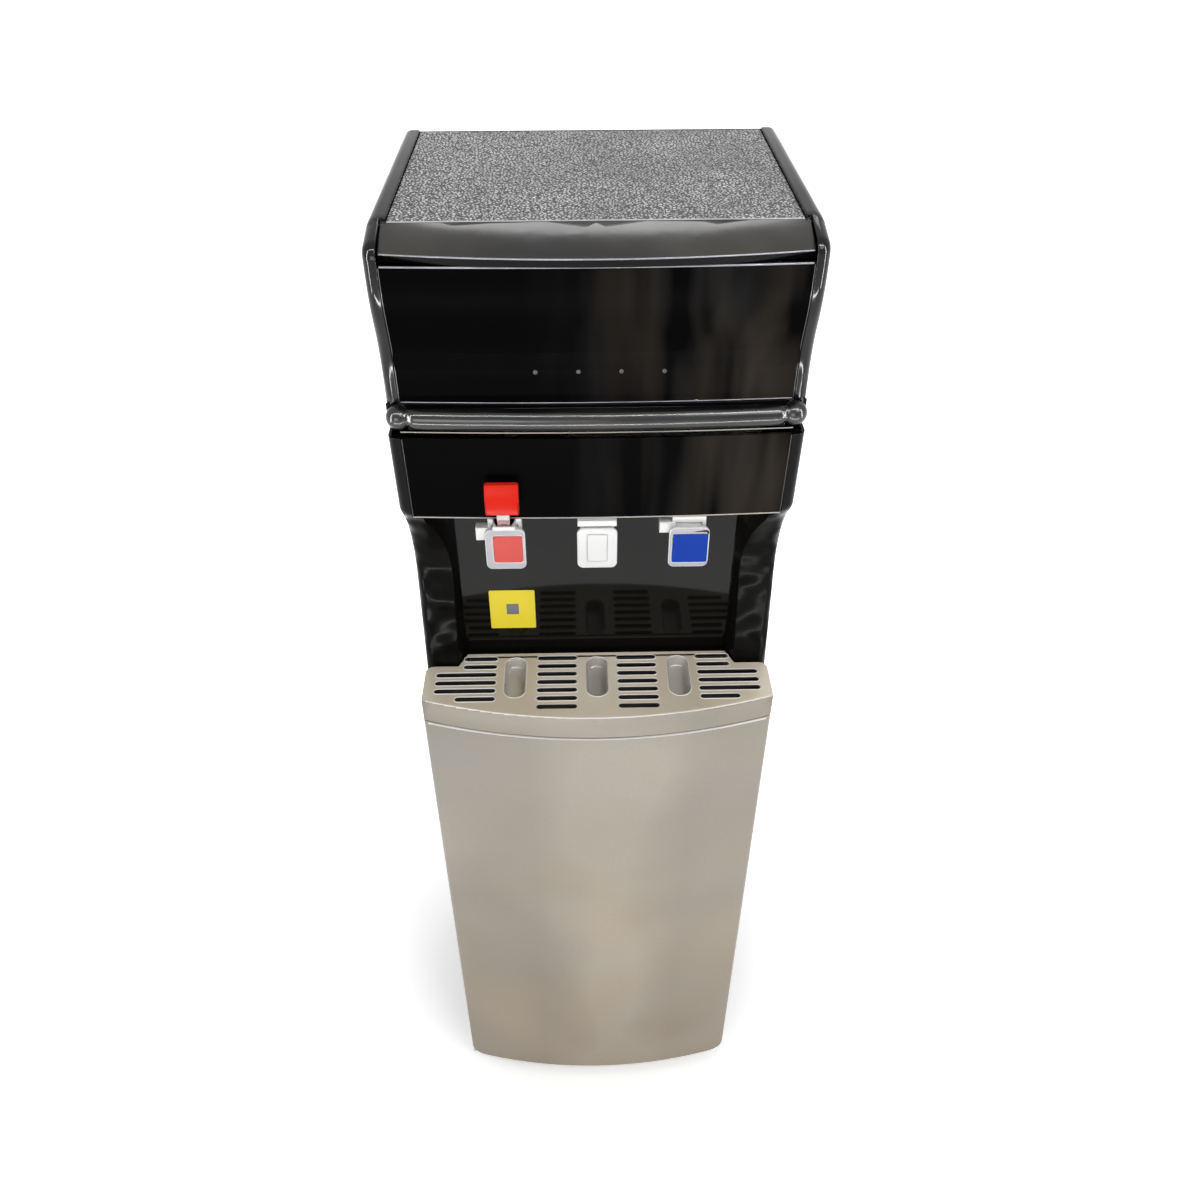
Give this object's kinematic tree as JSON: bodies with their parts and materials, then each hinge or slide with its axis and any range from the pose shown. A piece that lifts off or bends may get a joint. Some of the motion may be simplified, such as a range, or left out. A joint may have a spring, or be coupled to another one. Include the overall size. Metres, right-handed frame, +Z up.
{
  "type": "bottom-loading water dispenser",
  "caption": "Tall floor-standing water dispenser with a bowed bottle-bay door, slotted drip tray, lever taps in an alcove, child lock and rear condenser.",
  "frame": {"origin": "middle of the bounding box's footprint, on the floor under the rubber feet", "axes": "+Z up, -Y to the front where the door and taps are, +X to the user's right"},
  "size_m": [0.31, 0.33, 1.015],
  "materials": {
    "black_gloss_moulding": "glossy",
    "silver_painted_plastic": "satin metallic paint",
    "black_textured_top": "fine grained",
    "black_side_steel": "satin",
    "galvanised_steel": "satin",
    "dark_base_plastic": "matt",
    "grey_liner_plastic": "matt",
    "foot_rubber": "matt",
    "white_tap_plastic": "satin",
    "hot_red_plastic": "satin",
    "cold_blue_plastic": "satin",
    "lock_red_plastic": "satin",
    "lamp_clear": "clear",
    "board_green": "satin",
    "bright_steel": "satin",
    "compressor_black": "satin",
    "foam_white": "matt",
    "silicone_tube": "satin",
    "condenser_black": "satin",
    "copper_line": "satin",
    "magnet_black": "matt",
    "switch_black": "satin",
    "switch_red": "satin",
    "switch_green": "satin"
  },
  "bodies": {
    "cabinet": {"base_tray": "dark_base_plastic", "foot_pads": "foot_rubber", "side_panel_left": "black_side_steel", "side_panel_right": "black_side_steel", "rear_panel": "galvanised_steel", "mid_deck": "galvanised_steel", "bottle_guide": "grey_liner_plastic", "door_hinge_lower": "bright_steel", "door_hinge_upper": "bright_steel", "door_catch": "magnet_black", "alcove_housing": "black_gloss_moulding", "head_cover": "black_gloss_moulding", "top_insert": "black_textured_top", "control_panel": "black_gloss_moulding", "lower_front_panel": "black_gloss_moulding", "hot_tap_body": "white_tap_plastic", "room_tap_body": "white_tap_plastic", "cold_tap_body": "white_tap_plastic", "paddle_pins": "bright_steel", "tap_nuts": "white_tap_plastic", "indicator_lamps": "lamp_clear", "control_board": "board_green", "tank_shelf": "galvanised_steel", "compressor": "compressor_black", "compressor_mounts": "foot_rubber", "hot_tank_jacket": "foam_white", "hot_jacket_lid": "foam_white", "hot_tank": "bright_steel", "cold_tank_foam": "foam_white", "cold_foam_lid": "foam_white", "cold_tank": "bright_steel", "tap_tubes": "silicone_tube", "feed_tube": "silicone_tube", "water_pump": "switch_black", "pump_bracket": "dark_base_plastic", "suction_riser": "silicone_tube", "suction_probe": "white_tap_plastic", "probe_clip": "dark_base_plastic", "condenser_coil": "condenser_black", "condenser_wires": "condenser_black", "condenser_brackets": "galvanised_steel", "discharge_line": "copper_line", "switch_frame": "switch_black", "mains_gland": "switch_black", "drain_outlet": "white_tap_plastic"},
    "door": {"door_skin": "silver_painted_plastic", "door_liner": "grey_liner_plastic", "catch_plate": "bright_steel"},
    "drip_basin_tray": {"drip_basin": "grey_liner_plastic"},
    "drip_grille": {"drip_cover": "silver_painted_plastic"},
    "hot_lever": {"hot_paddle": "white_tap_plastic", "hot_tile": "hot_red_plastic"},
    "room_lever": {"room_paddle": "white_tap_plastic"},
    "cold_lever": {"cold_paddle": "white_tap_plastic", "cold_tile": "cold_blue_plastic"},
    "child_lock": {"lock_cap": "lock_red_plastic", "lock_stem": "white_tap_plastic"},
    "hot_rocker": {"hot_switch": "switch_red"},
    "cold_rocker": {"cold_switch": "switch_green"},
    "drain_screw_cap": {"drain_cap": "white_tap_plastic"}
  },
  "joints": [
    {"name": "door_hinge", "type": "hinge", "parent": "cabinet", "child": "door", "pos_m": [-0.148, -0.13, 0.3], "axis": [0, 0, -1], "range_deg": [0, 100]},
    {"name": "tray_slide", "type": "slide", "parent": "cabinet", "child": "drip_basin_tray", "axis": [0, -1, 0], "range_m": [0, 0.09]},
    {"name": "grille_lift", "type": "slide", "parent": "drip_basin_tray", "child": "drip_grille", "axis": [0, 0, 1], "range_m": [0, 0.03]},
    {"name": "hot_lever_pivot", "type": "hinge", "parent": "cabinet", "child": "hot_lever", "pos_m": [-0.073, -0.111, 0.781], "axis": [1, 0, 0], "range_deg": [0, 14], "stiffness_Nm_per_rad": 0.2},
    {"name": "room_lever_pivot", "type": "hinge", "parent": "cabinet", "child": "room_lever", "pos_m": [0, -0.111, 0.781], "axis": [1, 0, 0], "range_deg": [0, 14], "stiffness_Nm_per_rad": 0.2},
    {"name": "cold_lever_pivot", "type": "hinge", "parent": "cabinet", "child": "cold_lever", "pos_m": [0.073, -0.111, 0.781], "axis": [1, 0, 0], "range_deg": [0, 14], "stiffness_Nm_per_rad": 0.2},
    {"name": "child_lock_lift", "type": "slide", "parent": "cabinet", "child": "child_lock", "axis": [0, 0, 1], "range_m": [0, 0.003], "stiffness_N_per_m": 300},
    {"name": "hot_rocker_pivot", "type": "hinge", "parent": "cabinet", "child": "hot_rocker", "pos_m": [0.013, 0.1365, 0.838], "axis": [-1, 0, 0], "range_deg": [0, 16]},
    {"name": "cold_rocker_pivot", "type": "hinge", "parent": "cabinet", "child": "cold_rocker", "pos_m": [-0.013, 0.1365, 0.838], "axis": [-1, 0, 0], "range_deg": [0, 16]},
    {"name": "drain_cap_turn", "type": "hinge", "parent": "cabinet", "child": "drain_screw_cap", "pos_m": [-0.136, 0.148, 0.625], "axis": [0, 1, 0], "range_deg": [0, 180]}
  ]
}
